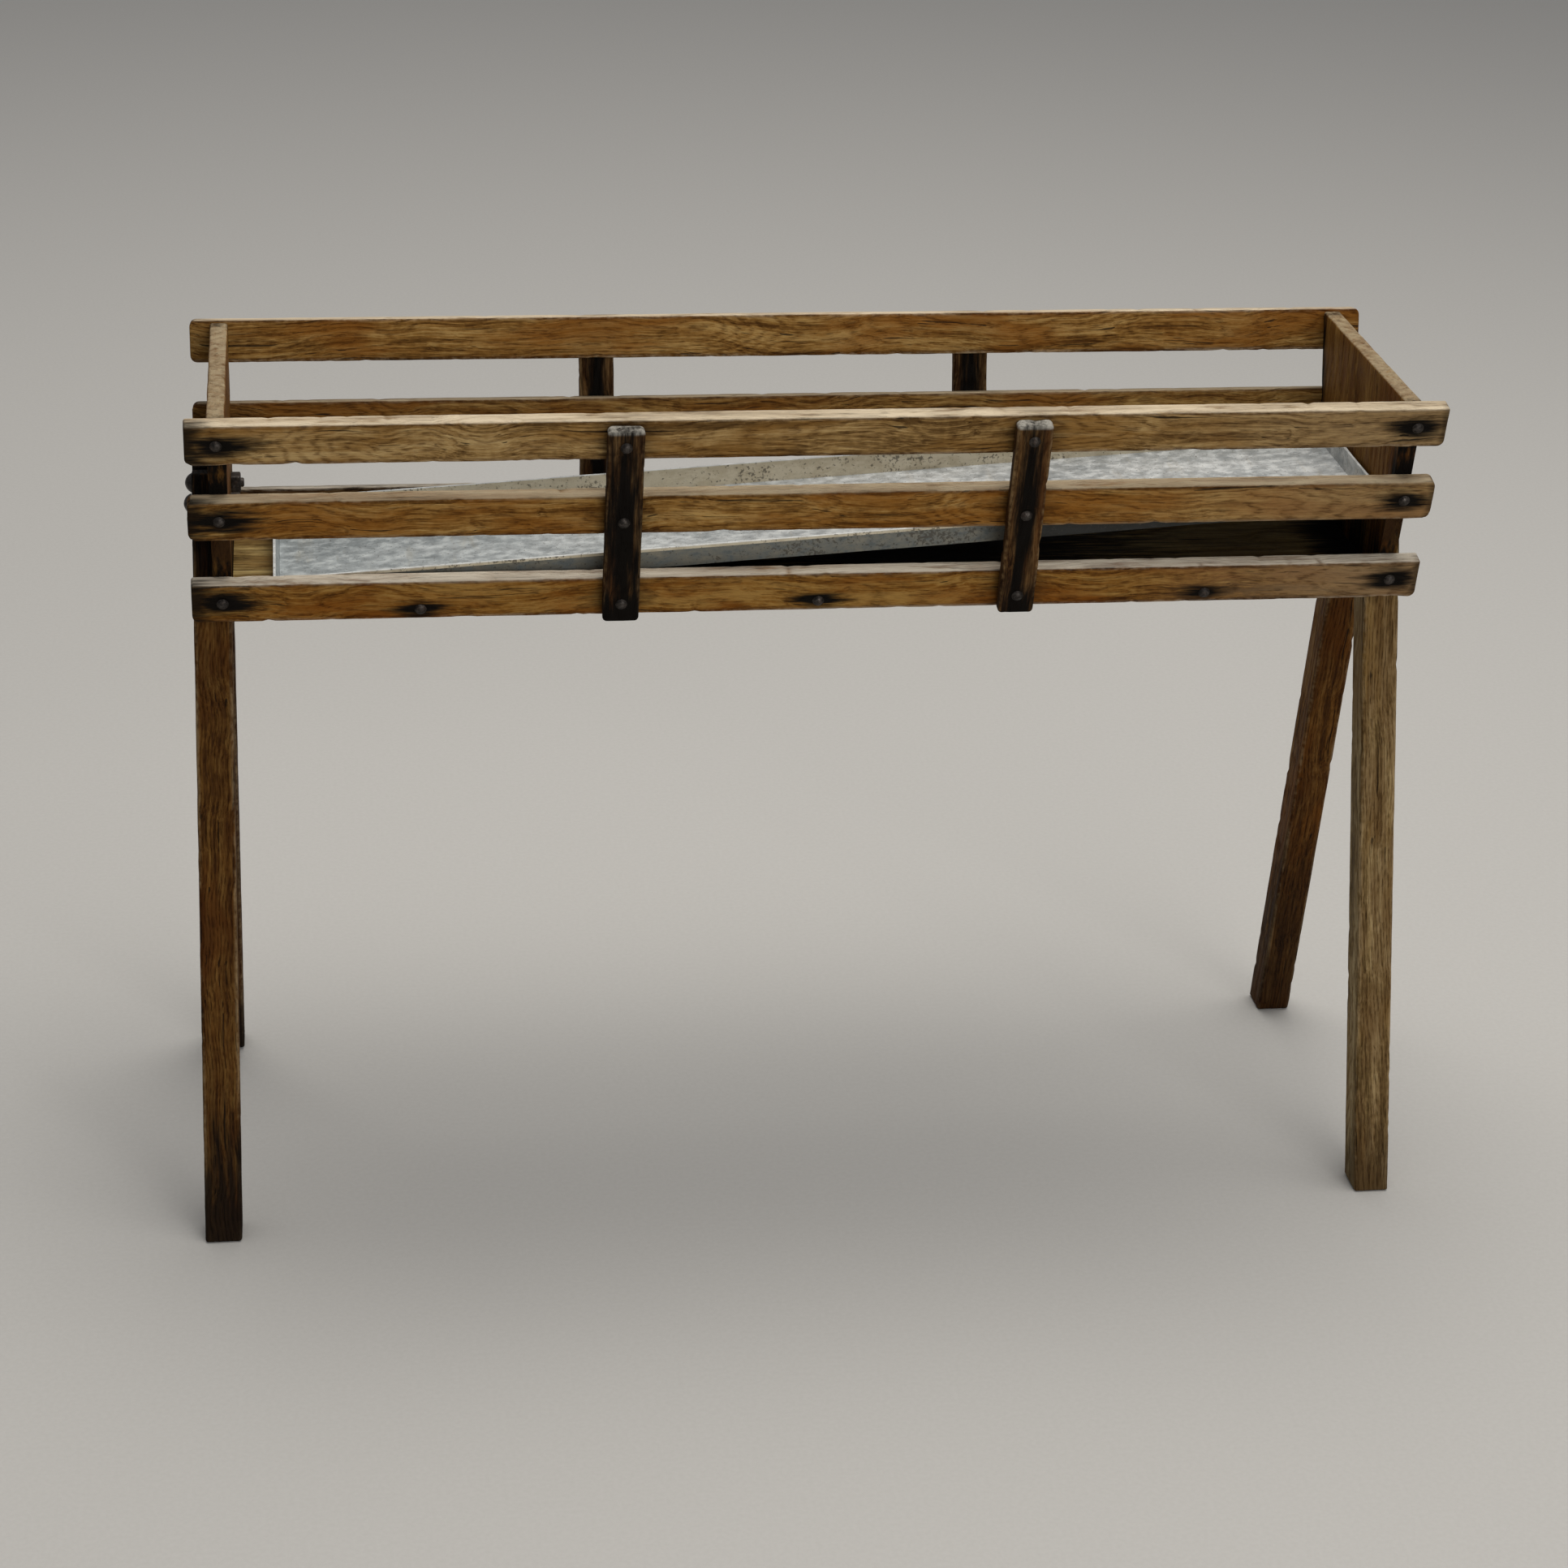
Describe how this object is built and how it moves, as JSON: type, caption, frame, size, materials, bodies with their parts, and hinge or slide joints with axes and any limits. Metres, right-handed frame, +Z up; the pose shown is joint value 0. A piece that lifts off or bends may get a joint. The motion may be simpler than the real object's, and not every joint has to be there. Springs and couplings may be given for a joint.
{
  "type": "plant stand",
  "caption": "Slatted wooden plant trough with outward-leaning walls on splayed bolted legs, holding a loose shallow metal tray for pots.",
  "frame": {"origin": "on the floor, under the middle of the stand", "axes": "+X along the trough to its right end, +Y from the front wall to the rear wall, +Z up"},
  "size_m": [1.0168, 0.3658, 0.7026],
  "materials": {
    "slat_oak": "weathered oiled oak",
    "batten_oak": "dark weathered oak",
    "board_oak": "weathered oak board",
    "leg_oak": "weathered oiled oak",
    "black_iron": "dull black iron",
    "zinc": "dull mottled zinc"
  },
  "bodies": {
    "stand": {"front_top_slat": "slat_oak", "front_middle_slat": "slat_oak", "front_bottom_slat": "slat_oak", "front_left_batten": "batten_oak", "front_left_leg": "leg_oak", "front_right_batten": "batten_oak", "front_right_leg": "leg_oak", "front_slat_nails": "black_iron", "front_batten_nails": "black_iron", "front_floor_nails": "black_iron", "rear_top_slat": "slat_oak", "rear_middle_slat": "slat_oak", "rear_bottom_slat": "slat_oak", "rear_left_batten": "batten_oak", "rear_left_leg": "leg_oak", "rear_right_batten": "batten_oak", "rear_right_leg": "leg_oak", "rear_slat_nails": "black_iron", "rear_batten_nails": "black_iron", "rear_floor_nails": "black_iron", "left_end_board": "board_oak", "left_leg_bolts": "black_iron", "left_leg_nuts": "black_iron", "right_end_board": "board_oak", "right_leg_bolts": "black_iron", "right_leg_nuts": "black_iron", "floor_board": "board_oak"},
    "tray": {"zinc_tray": "zinc"}
  },
  "joints": [
    {"name": "tray_lift", "type": "slide", "parent": "stand", "child": "tray", "axis": [0, 0, 1], "range_m": [0, 0.18]}
  ]
}
